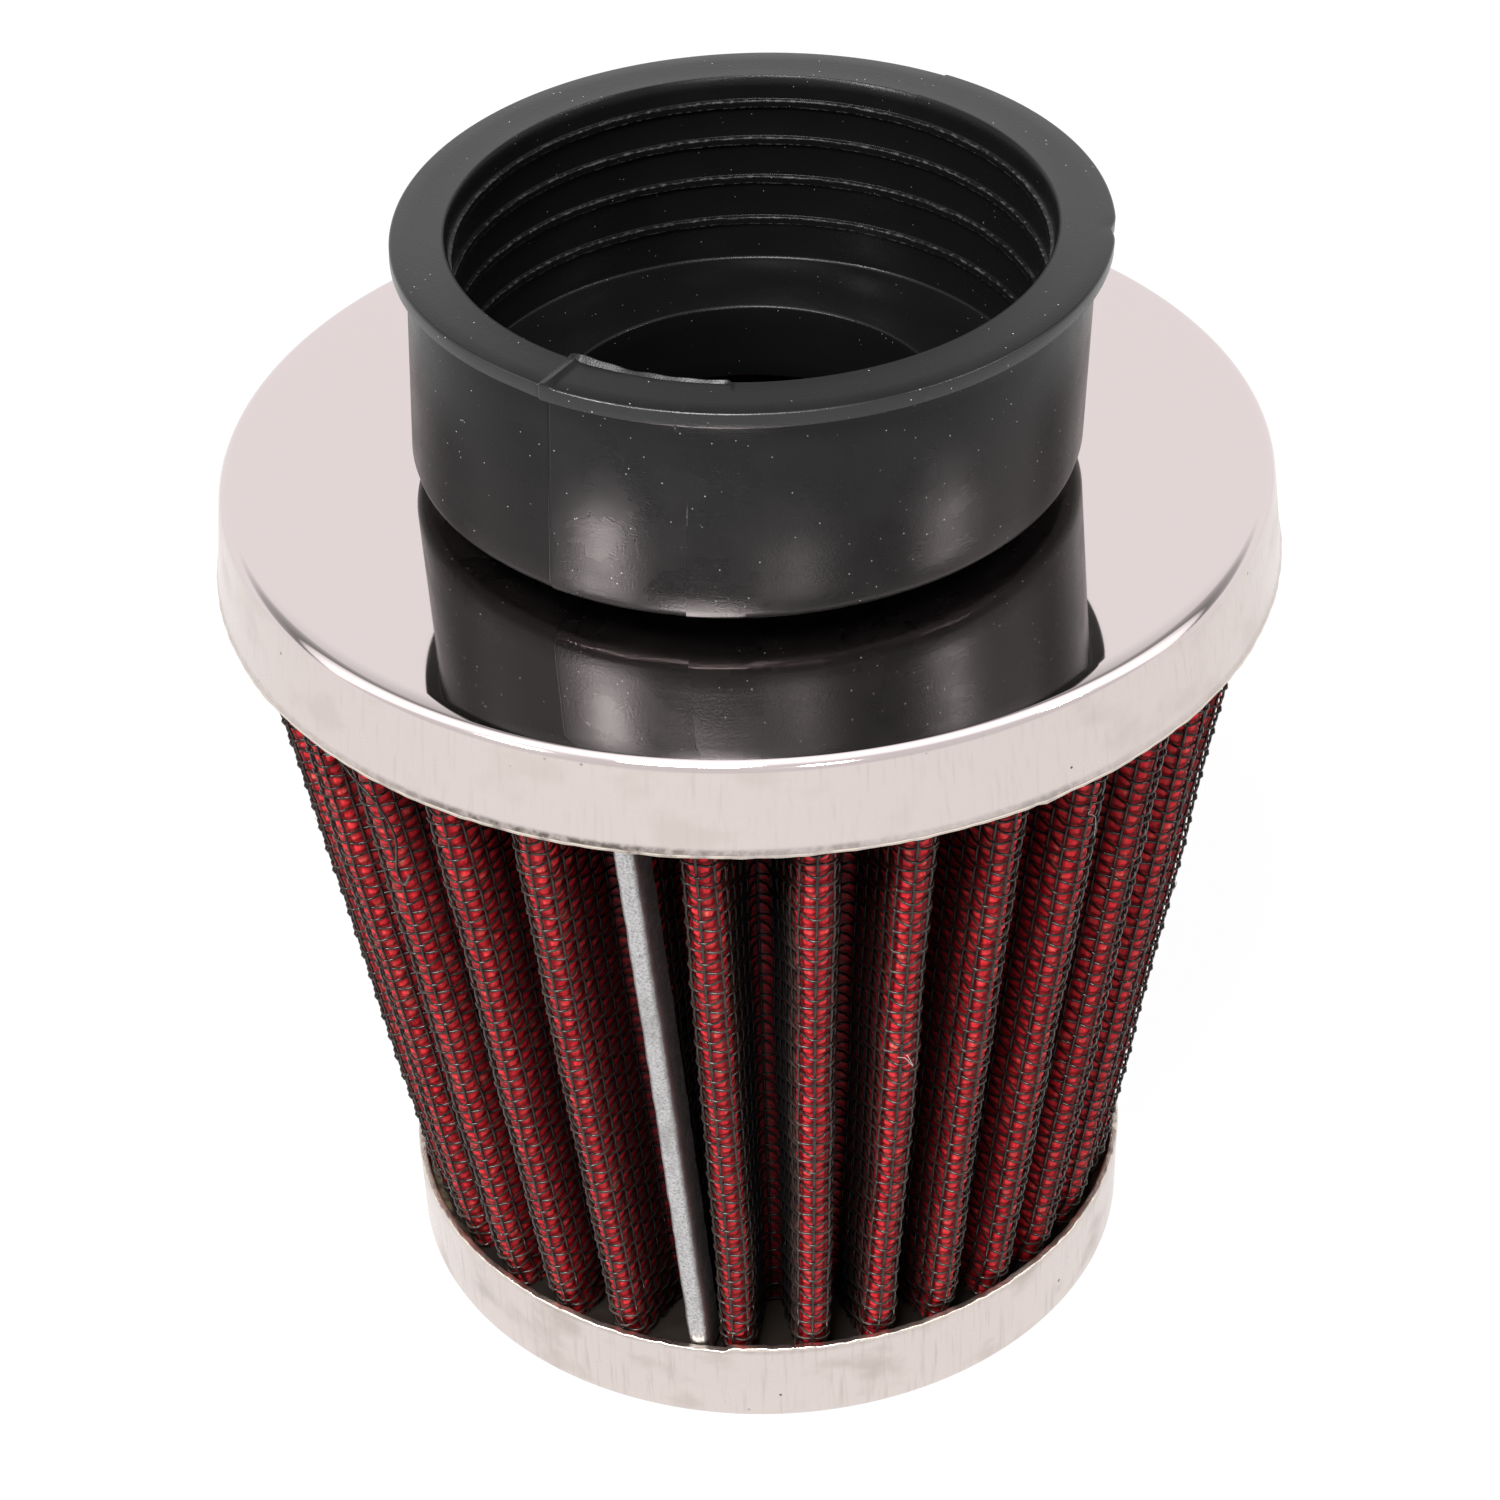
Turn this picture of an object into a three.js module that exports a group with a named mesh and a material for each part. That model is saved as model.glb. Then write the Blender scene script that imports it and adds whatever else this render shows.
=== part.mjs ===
// Clamp-on pod air filter for a motorcycle: rubber neck, two pressed steel caps and a tapered pleated pack
// of red cotton gauze between two wire meshes, closed by a folded steel seam clip.
// Millimetres. +Z runs along the axis towards the neck, and the origin is the centre of the end cap's
// bottom face, on which the filter stands. Azimuths are in degrees round +Z, with 0 at -Y, growing towards +X.

import * as THREE from "three";

// Rubber neck
const RIM_TOP = 92.3;
const RIM_R = 26.38;
const RIM_HEIGHT = 1.3;
const RIM_OVERHANG = 1.3;
const MOUTH_R = 22.25;
const BORE_R = 22.1;
const RIB_PROUD = 0.3;
const RIB_HALF_HEIGHT = 0.4;
const RIB_DEPTHS = [2.2, 5.4, 8.8, 12.4]; // below the rim
const SHELF_DEPTH = 15.9; // below the rim
const INNER_HOLE_R = 14.8;
const WALL_BOTTOM = 74.1;
const STEM_R = 19.6;
const FLANGE_R = 22.7;
const FLANGE_BOTTOM = 70.0;
const NECK_LEAN = 0.95; // how far the rim of the soft neck stands towards +X of the axis

// Base cap, the large cup
const CAP_SHEET = 0.6;
const BASE_TOP = 72.4;
const BASE_CORNER_R = 39.6;
const BASE_LIP_R = 40.35;
const BASE_LIP = 64.9;
const BASE_HOLE_R = 19.9;
const BASE_CORNER_ROUND = 0.9;

// End cap, the small cup
const END_CORNER_R = 29.05;
const END_LIP_R = 29.2;
const END_LIP = 7.5;
const END_CORNER_ROUND = 0.65;

// Pleated pack
const PACK_BOTTOM = 5.3;
const PACK_TOP = 66.0;
const PACK_BOTTOM_R = 27.9;
const PACK_TOP_R = 39.1;
const PLEAT_DEPTH = 7.2;
const CREST_WIDTH_BOTTOM = 2.5;
const CREST_WIDTH_TOP = 3.2;
const VALLEY_HALF_WIDTH = 0.9; // of the pack's middle line
const MESH_THICKNESS = 0.2;
const PLY_THICKNESS = 0.1;
const PLY_COUNT = 4;
const PLY_GAP = 0.05;

// Folds: an even run, then a few wider ones up to the seam clip
const FOLDS = 31;
const FIRST_FOLD = -5;
const LAST_FOLD = 335;
const WIDE_FOLDS = 3;
const WIDE_PITCH = 12.3;
const CLIP_AZIMUTH_BOTTOM = -12.3;
const CLIP_AZIMUTH_TOP = -14.5;

// Seam clip
const CLIP_WIDTH = 1.5;
const CLIP_MOUTH_WIDTH = 1.9;
const CLIP_DEPTH = 3.0;
const CLIP_SHEET = 0.2;
const CLIP_PROUD = 0.12;
const CRIMP = 0.45; // the pack is pressed to this share of its thickness inside the clip
const CRIMPED_OFFSET = 0.3; // from the clip's middle to the middle of each pressed end

// Potting
const GAP = 0.3;
const BASE_POTTING_R = 38.6;
const BASE_POTTING_HOLE_R = 23.2;
const END_POTTING_R = 27.9;

const LATHE_STEPS = 48;
const NECK_STEPS = 40;

const steel = { color: 0xe2d9d8, roughness: 0.16, metalness: 1.0 };
const clipSteel = { color: 0xc9c5c2, roughness: 0.35, metalness: 1.0 };
const rubber = { color: 0x161616, roughness: 0.6, metalness: 0.0 };
const wire = { color: 0x1a1718, roughness: 0.4, metalness: 0.6 };
const gauze = { color: 0xb3131a, roughness: 0.9, metalness: 0.0 };
const potting = { color: 0xd8c49a, roughness: 0.7, metalness: 0.0 };

const filter = new THREE.Group();

function addPiece(name, geometry, finish) {
  const mesh = new THREE.Mesh(geometry, new THREE.MeshStandardMaterial(finish));
  mesh.name = name;
  filter.add(mesh);
}

// A body of revolution round +Z from an outline of [radius, height] points.
function turned(outline, steps = LATHE_STEPS) {
  const points = outline.map(([r, z]) => new THREE.Vector2(r, z));
  const geometry = new THREE.LatheGeometry(points, steps);
  return geometry.rotateX(Math.PI / 2);
}

// Points of a circular arc in the outline plane, from angle a to angle b in degrees.
function arc([r, z], radius, a, b, steps = 3) {
  return Array.from({ length: steps + 1 }, (_, i) => {
    const angle = THREE.MathUtils.degToRad(a + ((b - a) * i) / steps);
    return [r + radius * Math.cos(angle), z + radius * Math.sin(angle)];
  });
}

// ---- rubber neck ----------------------------------------------------------------------------------------

function rubberNeck() {
  const wall = RIM_R - RIM_OVERHANG;
  const bevel = 0.4;
  const ribs = RIB_DEPTHS.flatMap((depth) => {
    const z = RIM_TOP - depth;
    const flat = 0.15;
    return [
      [BORE_R, z + RIB_HALF_HEIGHT],
      [BORE_R - RIB_PROUD, z + flat],
      [BORE_R - RIB_PROUD, z - flat],
      [BORE_R, z - RIB_HALF_HEIGHT],
    ];
  });
  const shelf = RIM_TOP - SHELF_DEPTH;
  const outline = [
    [INNER_HOLE_R, FLANGE_BOTTOM],
    [FLANGE_R, FLANGE_BOTTOM],
    [FLANGE_R, BASE_TOP - CAP_SHEET - GAP],
    [STEM_R, BASE_TOP - CAP_SHEET - GAP],
    [STEM_R, WALL_BOTTOM],
    [wall - bevel, WALL_BOTTOM],
    [wall, WALL_BOTTOM + bevel],
    [wall, RIM_TOP - RIM_HEIGHT],
    [RIM_R, RIM_TOP - RIM_HEIGHT + 0.1],
    [RIM_R, RIM_TOP - bevel],
    [RIM_R - bevel, RIM_TOP],
    [MOUTH_R + bevel, RIM_TOP],
    [MOUTH_R, RIM_TOP - bevel],
    [BORE_R, RIM_TOP - 2 * bevel],
    ...ribs,
    [BORE_R, shelf],
    [INNER_HOLE_R + bevel, shelf],
    [INNER_HOLE_R, shelf - bevel],
    [INNER_HOLE_R, FLANGE_BOTTOM],
  ];
  const geometry = turned(outline, NECK_STEPS);
  const position = geometry.getAttribute("position");
  for (let i = 0; i < position.count; i++) {
    const rise = (position.getZ(i) - BASE_TOP) / (RIM_TOP - BASE_TOP);
    position.setX(i, position.getX(i) + NECK_LEAN * Math.max(0, rise));
  }
  return geometry;
}

// ---- pressed steel caps ---------------------------------------------------------------------------------

function baseCap() {
  const round = BASE_CORNER_ROUND;
  const corner = [BASE_CORNER_R - round, BASE_TOP - round];
  const outline = [
    [BASE_HOLE_R, BASE_TOP - CAP_SHEET],
    ...arc(corner, round - CAP_SHEET, 90, 0, 2),
    [BASE_LIP_R - CAP_SHEET, BASE_LIP],
    [BASE_LIP_R, BASE_LIP],
    ...arc(corner, round, 0, 90),
    [BASE_HOLE_R, BASE_TOP],
    [BASE_HOLE_R, BASE_TOP - CAP_SHEET],
  ];
  return turned(outline);
}

function endCap() {
  const round = END_CORNER_ROUND;
  const corner = [END_CORNER_R - round, round];
  const outline = [
    [0, 0],
    ...arc(corner, round, -90, 0),
    [END_LIP_R, END_LIP],
    [END_LIP_R - CAP_SHEET, END_LIP],
    ...arc(corner, round - CAP_SHEET, 0, -90, 2),
    [0, CAP_SHEET],
  ];
  return turned(outline);
}

// ---- potting --------------------------------------------------------------------------------------------

function basePotting() {
  const low = PACK_TOP + GAP;
  const high = BASE_TOP - CAP_SHEET - GAP;
  const outline = [
    [BASE_POTTING_HOLE_R, low],
    [BASE_POTTING_R, low],
    [BASE_POTTING_R, high],
    [BASE_POTTING_HOLE_R, high],
    [BASE_POTTING_HOLE_R, low],
  ];
  return turned(outline);
}

function endPotting() {
  const low = CAP_SHEET + GAP;
  const high = PACK_BOTTOM - GAP;
  const outline = [
    [0, low],
    [END_POTTING_R, low],
    [END_POTTING_R, high],
    [0, high],
  ];
  return turned(outline);
}

// ---- pleated pack ---------------------------------------------------------------------------------------

const packThickness = 2 * MESH_THICKNESS + PLY_COUNT * PLY_THICKNESS + (PLY_COUNT + 1) * PLY_GAP;

const sections = [
  { z: PACK_BOTTOM, outer: PACK_BOTTOM_R, crest: CREST_WIDTH_BOTTOM, clip: CLIP_AZIMUTH_BOTTOM },
  { z: PACK_TOP, outer: PACK_TOP_R, crest: CREST_WIDTH_TOP, clip: CLIP_AZIMUTH_TOP },
];

// A point given by its azimuth, its radius and how far it stands to the side, towards growing azimuth.
function polar(azimuth, radius, side) {
  const a = THREE.MathUtils.degToRad(azimuth);
  return new THREE.Vector2(
    radius * Math.sin(a) + side * Math.cos(a),
    -radius * Math.cos(a) + side * Math.sin(a),
  );
}

function foldAzimuths() {
  const evenGaps = FOLDS - 1 - WIDE_FOLDS;
  const evenPitch = (LAST_FOLD - FIRST_FOLD - WIDE_FOLDS * WIDE_PITCH) / evenGaps;
  return Array.from({ length: FOLDS }, (_, i) =>
    i <= evenGaps ? FIRST_FOLD + i * evenPitch : LAST_FOLD - (FOLDS - 1 - i) * WIDE_PITCH,
  );
}

// The pack's middle line at one height, from one side of the clip round to its other side. Each entry holds
// a point and how much of the pack's full thickness it has there.
function middleLine({ outer, crest, clip }) {
  const folds = foldAzimuths();
  const line = [];
  const half = (crest - packThickness) / 2;
  const foldCentre = outer - packThickness / 2 - half;
  const valleyRadius = outer - PLEAT_DEPTH + packThickness / 2;
  const crimpTop = outer + CLIP_PROUD - CLIP_SHEET - GAP;
  const crimpEnd = outer - CLIP_DEPTH - GAP;
  const addValley = (azimuth) => {
    line.push({ at: polar(azimuth, valleyRadius, -VALLEY_HALF_WIDTH), share: 1 });
    line.push({ at: polar(azimuth, valleyRadius, VALLEY_HALF_WIDTH), share: 1 });
  };
  const addFold = (azimuth) => {
    for (const angle of [-90, -30, 30, 90]) {
      const a = THREE.MathUtils.degToRad(angle);
      const radius = foldCentre + half * Math.cos(a);
      line.push({ at: polar(azimuth, radius, half * Math.sin(a)), share: 1 });
    }
  };
  line.push({ at: polar(clip, crimpTop, CRIMPED_OFFSET), share: CRIMP });
  line.push({ at: polar(clip, crimpEnd, CRIMPED_OFFSET), share: CRIMP });
  addValley((clip + folds[0]) / 2);
  folds.forEach((azimuth, i) => {
    addFold(azimuth);
    if (i < FOLDS - 1) addValley((azimuth + folds[i + 1]) / 2);
  });
  addValley((folds[FOLDS - 1] + clip + 360) / 2);
  line.push({ at: polar(clip, crimpEnd, -CRIMPED_OFFSET), share: CRIMP });
  line.push({ at: polar(clip, crimpTop, -CRIMPED_OFFSET), share: CRIMP });
  return line;
}

// Unit-thickness offset of each point of a line, away from the filter's axis, with mitred corners.
function mitres(line) {
  const normals = line.slice(1).map(({ at }, i) => {
    const along = at.clone().sub(line[i].at).normalize();
    return new THREE.Vector2(along.y, -along.x);
  });
  return line.map((_, i) => {
    const before = normals[Math.max(i - 1, 0)];
    const after = normals[Math.min(i, normals.length - 1)];
    return before.clone().add(after).divideScalar(1 + before.dot(after));
  });
}

// One layer of the pack, between two distances from its middle line, as a closed strip.
function layer(outerOffset, innerOffset) {
  const [bottom, top] = sections.map((section) => {
    const line = middleLine(section);
    const outward = mitres(line);
    const side = (offset) =>
      line.map(({ at, share }, i) => {
        const p = outward[i].clone().multiplyScalar(offset * share).add(at);
        return [p.x, p.y, section.z];
      });
    return { outer: side(outerOffset), inner: side(innerOffset) };
  });
  const count = bottom.outer.length;
  const positions = [];
  for (let i = 0; i < count; i++)
    positions.push(...bottom.outer[i], ...top.outer[i], ...top.inner[i], ...bottom.inner[i]);
  const faces = [];
  for (let i = 0; i < 4 * (count - 1); i += 4) {
    const j = i + 4;
    faces.push(i, j, j + 1, i, j + 1, i + 1); // outer wall
    faces.push(i + 1, j + 1, j + 2, i + 1, j + 2, i + 2); // top
    faces.push(i + 2, j + 2, i + 3, j + 2, j + 3, i + 3); // inner wall
    faces.push(i + 3, j + 3, j, i + 3, j, i); // bottom
  }
  const last = 4 * (count - 1);
  faces.push(0, 1, 2, 0, 2, 3);
  faces.push(last, last + 2, last + 1, last, last + 3, last + 2);
  const geometry = new THREE.BufferGeometry();
  geometry.setAttribute("position", new THREE.Float32BufferAttribute(positions, 3));
  geometry.setIndex(faces);
  return geometry;
}

// ---- seam clip ------------------------------------------------------------------------------------------

// A folded channel, open towards the axis, that grips both ends of the pack. Its outline at each height is
// [distance inwards from the crest, sideways distance].
function seamClip() {
  const bevel = 0.25;
  const outside = [
    [CLIP_DEPTH, -CLIP_MOUTH_WIDTH / 2],
    [bevel, -CLIP_WIDTH / 2],
    [0, -CLIP_WIDTH / 2 + bevel],
    [0, CLIP_WIDTH / 2 - bevel],
    [bevel, CLIP_WIDTH / 2],
    [CLIP_DEPTH, CLIP_MOUTH_WIDTH / 2],
  ];
  const inside = [
    [CLIP_DEPTH, CLIP_MOUTH_WIDTH / 2 - CLIP_SHEET],
    [CLIP_SHEET, CLIP_WIDTH / 2 - CLIP_SHEET],
    [CLIP_SHEET, -CLIP_WIDTH / 2 + CLIP_SHEET],
    [CLIP_DEPTH, -CLIP_MOUTH_WIDTH / 2 + CLIP_SHEET],
  ];
  const outline = [...outside, ...inside];
  const rings = sections.map(({ z, outer, clip }) =>
    outline.map(([inwards, side]) => {
      const p = polar(clip, outer + CLIP_PROUD - inwards, side);
      return [p.x, p.y, z];
    }),
  );
  const contour = outline.map(([inwards, side]) => new THREE.Vector2(side, -inwards));
  const caps = THREE.ShapeUtils.triangulateShape(contour, []);
  const n = outline.length;
  const faces = [];
  for (let i = 0; i < n; i++) {
    const j = (i + 1) % n;
    faces.push(i, j, n + j, i, n + j, n + i);
  }
  for (const [a, b, c] of caps) {
    const flip = THREE.ShapeUtils.area([contour[a], contour[b], contour[c]]) > 0;
    const [p, q] = flip ? [c, b] : [b, c];
    faces.push(n + a, n + p, n + q);
    faces.push(a, q, p);
  }
  const geometry = new THREE.BufferGeometry();
  geometry.setAttribute("position", new THREE.Float32BufferAttribute(rings.flat(2), 3));
  geometry.setIndex(faces);
  return geometry;
}

// ---- assembly -------------------------------------------------------------------------------------------

addPiece("rubber_neck", rubberNeck(), rubber);
addPiece("base_cap", baseCap(), steel);
addPiece("base_potting", basePotting(), potting);

const layers = [
  { name: "outer_wire_mesh", thickness: MESH_THICKNESS, finish: wire },
  ...Array.from({ length: PLY_COUNT }, (_, i) => ({
    name: `gauze_ply_${i + 1}`,
    thickness: PLY_THICKNESS,
    finish: gauze,
  })),
  { name: "inner_wire_mesh", thickness: MESH_THICKNESS, finish: wire },
];
let offset = packThickness / 2;
for (const { name, thickness, finish } of layers) {
  addPiece(name, layer(offset, offset - thickness), finish);
  offset -= thickness + PLY_GAP;
}

addPiece("seam_clip", seamClip(), clipSteel);
addPiece("end_potting", endPotting(), potting);
addPiece("end_cap", endCap(), steel);

export default filter;
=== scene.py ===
"""Looks of a clamp-on pod air filter: a rubber neck, two bright steel caps, and a pleated pack of red
cotton gauze behind woven wire, closed by a folded seam clip.

Lengths are in millimetres until a mesh is made, and metres in the scene. Azimuths are in degrees round +Z,
with 0 at -Y, growing towards +X. The folds stand where the CAD part has them, but for the two beside the
clip, which are turned a little.
"""

import math

import bpy
import numpy as np
from mathutils import Matrix, Vector


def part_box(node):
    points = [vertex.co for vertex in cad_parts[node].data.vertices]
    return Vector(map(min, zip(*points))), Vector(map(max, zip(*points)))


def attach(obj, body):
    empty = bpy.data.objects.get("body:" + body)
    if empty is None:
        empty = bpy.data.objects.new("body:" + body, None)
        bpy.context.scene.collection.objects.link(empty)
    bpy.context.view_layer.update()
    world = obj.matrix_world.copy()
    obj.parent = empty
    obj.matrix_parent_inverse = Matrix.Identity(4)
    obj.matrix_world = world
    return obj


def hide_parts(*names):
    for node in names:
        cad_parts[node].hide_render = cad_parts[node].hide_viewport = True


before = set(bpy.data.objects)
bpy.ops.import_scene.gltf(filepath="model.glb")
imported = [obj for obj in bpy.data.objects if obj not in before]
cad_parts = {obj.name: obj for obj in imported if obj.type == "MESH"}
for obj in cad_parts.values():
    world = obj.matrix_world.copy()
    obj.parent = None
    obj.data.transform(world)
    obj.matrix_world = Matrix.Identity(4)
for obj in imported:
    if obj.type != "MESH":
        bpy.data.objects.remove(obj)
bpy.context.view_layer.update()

MM = 0.001  # metres in a millimetre
LEVEL = 0.05  # how near a height a CAD point has to be to count as lying at it


def node_box(node):
    """Lowest and highest corner of a CAD node, in millimetres."""
    low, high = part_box(node)
    return np.array(low) / MM, np.array(high) / MM


def node_radius(node, z):
    """Largest radius of a CAD node among its points at height z, in millimetres."""
    points = np.array([v.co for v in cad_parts[node].data.vertices]) / MM
    near = points[np.abs(points[:, 2] - z) < LEVEL]
    return float(np.hypot(near[:, 0], near[:, 1]).max())


def node_span(node, z):
    """Lowest and highest x of a CAD node among its points at height z, in millimetres."""
    points = np.array([v.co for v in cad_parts[node].data.vertices]) / MM
    across = points[np.abs(points[:, 2] - z) < LEVEL, 0]
    return float(across.min()), float(across.max())


# ---- sizes ----------------

# Rubber neck
RIM_TOP = node_box("rubber_neck")[1][2]
RIM_LEVEL = RIM_TOP - 0.4  # where the rim's straight outside begins, under its rounded edge
RIM_LEFT, RIM_RIGHT = node_span("rubber_neck", RIM_LEVEL)
RIM_R = (RIM_RIGHT - RIM_LEFT) / 2
FLANGE_BOTTOM = node_box("rubber_neck")[0][2]
RIM_HEIGHT = 1.3
RIM_OVERHANG = 1.3
MOUTH_R = 22.25
BORE_R = 22.1
RIB_PROUD = 0.3
RIB_DEPTHS = (2.2, 5.4, 8.8, 12.4)
SHELF_DEPTH = 15.9
INNER_HOLE_R = 14.8
WALL_BOTTOM = 74.1
STEM_R = 19.6
FLANGE_R = 22.7
PARTING, FAR_PARTING = -35.0, 144.4  # azimuths of the mould's parting lines
FLASH_START = -34.0
FLASH_SPAN = 29.0  # degrees of the mouth along which flash stands
PARTING_STEP = 0.06
SCAR, SCAR_SPAN = -10.9, 14.0  # azimuth of a shallow mark low on the wall, and how far it fades
NICK, NICK_WIDTH, NICK_DEPTH = 84.0, 2.2, 0.3  # a nick in the rim

# Steel caps
CAP_SHEET = 0.6
BASE_LIP, BASE_TOP = node_box("base_cap")[0][2], node_box("base_cap")[1][2]
BASE_LIP_R = node_radius("base_cap", BASE_LIP)
# How far the rim of the soft neck stands towards +X of the axis. The lean starts at the base cap's top.
NECK_LEAN = (RIM_LEFT + RIM_RIGHT) / 2 * (RIM_TOP - BASE_TOP) / (RIM_LEVEL - BASE_TOP)
BASE_CORNER_R = BASE_LIP_R - 0.75
BASE_HOLE_R = 19.9
BASE_ROUND = 0.9
END_LIP = node_box("end_cap")[1][2]
END_LIP_R = node_radius("end_cap", END_LIP)
END_CORNER_R = END_LIP_R - 0.15
END_ROUND = 0.65

# Pleated pack
PACK_BOTTOM, PACK_TOP = node_box("outer_wire_mesh")[0][2], node_box("outer_wire_mesh")[1][2]
PACK_BOTTOM_R = node_radius("outer_wire_mesh", PACK_BOTTOM)
PACK_TOP_R = node_radius("outer_wire_mesh", PACK_TOP)
PACK_SWELL = 0.45  # how far the pleats stand proud of a straight taper just above the end cap
PLEAT_DEPTH = 7.2
CREST_R_BOTTOM, CREST_R_TOP = 1.2, 1.48
VALLEY_R = 0.8
FOLDS = 31
FIRST_FOLD, LAST_FOLD = -5.0, 335.0
FIRST_FOLD_TURN, LAST_FOLD_TURN = -1.4, -0.8  # how far the folds beside the clip are turned
FOLD_SWAY, FOLD_PLUMPNESS, FOLD_DIP = 0.16, 0.05, 0.22  # spreads of azimuth, rounding and depth
PINCH_BACK, PINCH_R = 0.75, 0.3  # how far behind the crests the ends lie in the clip, and their rounding
PINCH_SHARE, PINCH_COLUMNS = 0.25, 4.5  # thickness left there, and the columns over which it recovers
WIDE_FOLDS, WIDE_PITCH = 3, 12.3
CLIP_AZIMUTH_BOTTOM, CLIP_AZIMUTH_TOP = -12.3, -14.5

# Woven wire
WIRE_R = 0.112
COLUMN_PITCH = 1.36
ROW_PITCH = 1.11
ROW_CRIMP = 0.15
COLUMN_CRIMP = 0.05

# Gauze, as distances behind the middle of the wire
GAUZE_BACK = 0.33
GAUZE_CREST_GAP = 0.05
GAUZE_BULGE = 0.25
PLY_STEP = 0.13
INNER_MESH_BACK, INNER_CRIMP = 0.98, 0.06
FIBRES, FIBRE_R = 24, 0.022  # loose fibres on the wire

# Seam clip
CLIP_WIDTH = 1.5
CLIP_MOUTH = 1.9
CLIP_DEPTH = 3.0
CLIP_SHEET = 0.2
CLIP_PROUD = 0.12

# Potting
END_POTTING_TOP = 5.0
BASE_POTTING_BOTTOM = 65.8
BASE_POTTING_HOLE_R = 23.2


# ---- meshes ----------------


def unit(azimuth):
    """Horizontal unit vectors at these azimuths."""
    a = np.radians(azimuth)
    return np.stack([np.sin(a), -np.cos(a)], axis=-1)


def make_mesh(name, points, faces, values=None):
    """A mesh from an array of points and a list of face arrays, with named values per point."""
    mesh = bpy.data.meshes.new(name)
    sizes = np.concatenate([np.full(len(block), block.shape[1]) for block in faces])
    corners = np.concatenate([block.ravel() for block in faces])
    mesh.vertices.add(len(points))
    mesh.vertices.foreach_set("co", (np.asarray(points) * MM).astype(np.float32).ravel())
    mesh.loops.add(len(corners))
    mesh.loops.foreach_set("vertex_index", corners.astype(np.int32))
    mesh.polygons.add(len(sizes))
    mesh.polygons.foreach_set("loop_start", np.concatenate([[0], np.cumsum(sizes)[:-1]]).astype(np.int32))
    mesh.update(calc_edges=True)
    for key, value in (values or {}).items():
        attribute = mesh.attributes.new(key, "FLOAT", "POINT")
        attribute.data.foreach_set("value", np.asarray(value, np.float32).ravel())
    mesh.validate()
    mesh.polygons.foreach_set("use_smooth", np.ones(len(mesh.polygons), bool))
    return mesh


def make_piece(name, points, faces, material, slot, values=None, sharp=None):
    """A piece of the object from mesh data. sharp is the angle in degrees above which an edge stays crisp."""
    mesh = make_mesh(name, points, faces, values)
    mesh.materials.append(material)
    if sharp:
        mesh.set_sharp_from_angle(angle=math.radians(sharp))
    piece = bpy.data.objects.new(name, mesh)
    bpy.context.scene.collection.objects.link(piece)
    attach(piece, "root")
    return piece


def grid_faces(rows, columns, closed_rows=False, closed_columns=False):
    """Quads of a grid of points stored row by row, facing the way of column direction x row direction."""
    j = np.arange(rows if closed_rows else rows - 1)[:, None]
    k = np.arange(columns if closed_columns else columns - 1)[None, :]
    j2, k2 = (j + 1) % rows, (k + 1) % columns
    corners = [j * columns + k, j * columns + k2, j2 * columns + k2, j2 * columns + k]
    return np.stack(np.broadcast_arrays(*corners), axis=-1).reshape(-1, 4)


def rounded(corners, steps=4):
    """A closed outline from (radius, height, rounding) corners."""
    outline = []
    for i, (r, z, rounding) in enumerate(corners):
        corner = np.array((r, z))
        if not rounding:
            outline.append(corner)
            continue
        before = np.array(corners[i - 1][:2]) - corner
        after = np.array(corners[(i + 1) % len(corners)][:2]) - corner
        before /= np.linalg.norm(before)
        after /= np.linalg.norm(after)
        half = math.acos(np.clip(before @ after, -1, 1)) / 2
        centre = corner + (before + after) / np.linalg.norm(before + after) * rounding / math.sin(half)
        start = corner + before * rounding / math.tan(half) - centre
        sweep = math.copysign(math.pi - 2 * half, before[1] * after[0] - before[0] * after[1])
        for step in range(steps + 1):
            c, s = math.cos(sweep * step / steps), math.sin(sweep * step / steps)
            outline.append(centre + (start[0] * c - start[1] * s, start[0] * s + start[1] * c))
    return np.array(outline)


def divided(outline, longest):
    """The same closed outline with its long stretches divided."""
    points = []
    for start, end in zip(outline, np.roll(outline, -1, axis=0)):
        count = max(1, math.ceil(np.linalg.norm(end - start) / longest))
        points += [start + (end - start) * i / count for i in range(count)]
    return np.array(points)


def turned_points(azimuths, radii, heights):
    """Points of a body of revolution, from arrays of azimuths by outline points."""
    around = unit(azimuths)[:, None, :] * radii[:, :, None]
    return np.concatenate([around, heights[:, :, None]], axis=-1).reshape(-1, 3)


def turned_faces(azimuths, outline_count):
    """Faces of a closed body of revolution, facing out for an outline that runs up its outside."""
    return grid_faces(len(azimuths), outline_count, closed_rows=True, closed_columns=True)[:, ::-1]


def turned_piece(name, azimuths, radii, heights, material, slot, values, sharp=40):
    """A piece turned round the axis, from arrays of azimuths by outline points."""
    faces = [turned_faces(azimuths, radii.shape[1])]
    return make_piece(name, turned_points(azimuths, radii, heights), faces, material, slot, values, sharp)


def ripple(azimuths, seed, waves, amplitude):
    """Irregular waving round the axis, from sines of random phase with these numbers of waves."""
    random = np.random.default_rng(seed)
    total = np.zeros_like(azimuths, float)
    for wave in waves:
        total += np.sin(np.radians(azimuths) * wave + random.uniform(0, 2 * np.pi)) * random.uniform(0.5, 1)
    return amplitude * total / len(waves)


def bump_at(azimuths, centre, width):
    """1 at an azimuth, fading to 0 over the width."""
    away = (azimuths - centre + 180) % 360 - 180
    return np.exp(-((away / width) ** 2))


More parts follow.
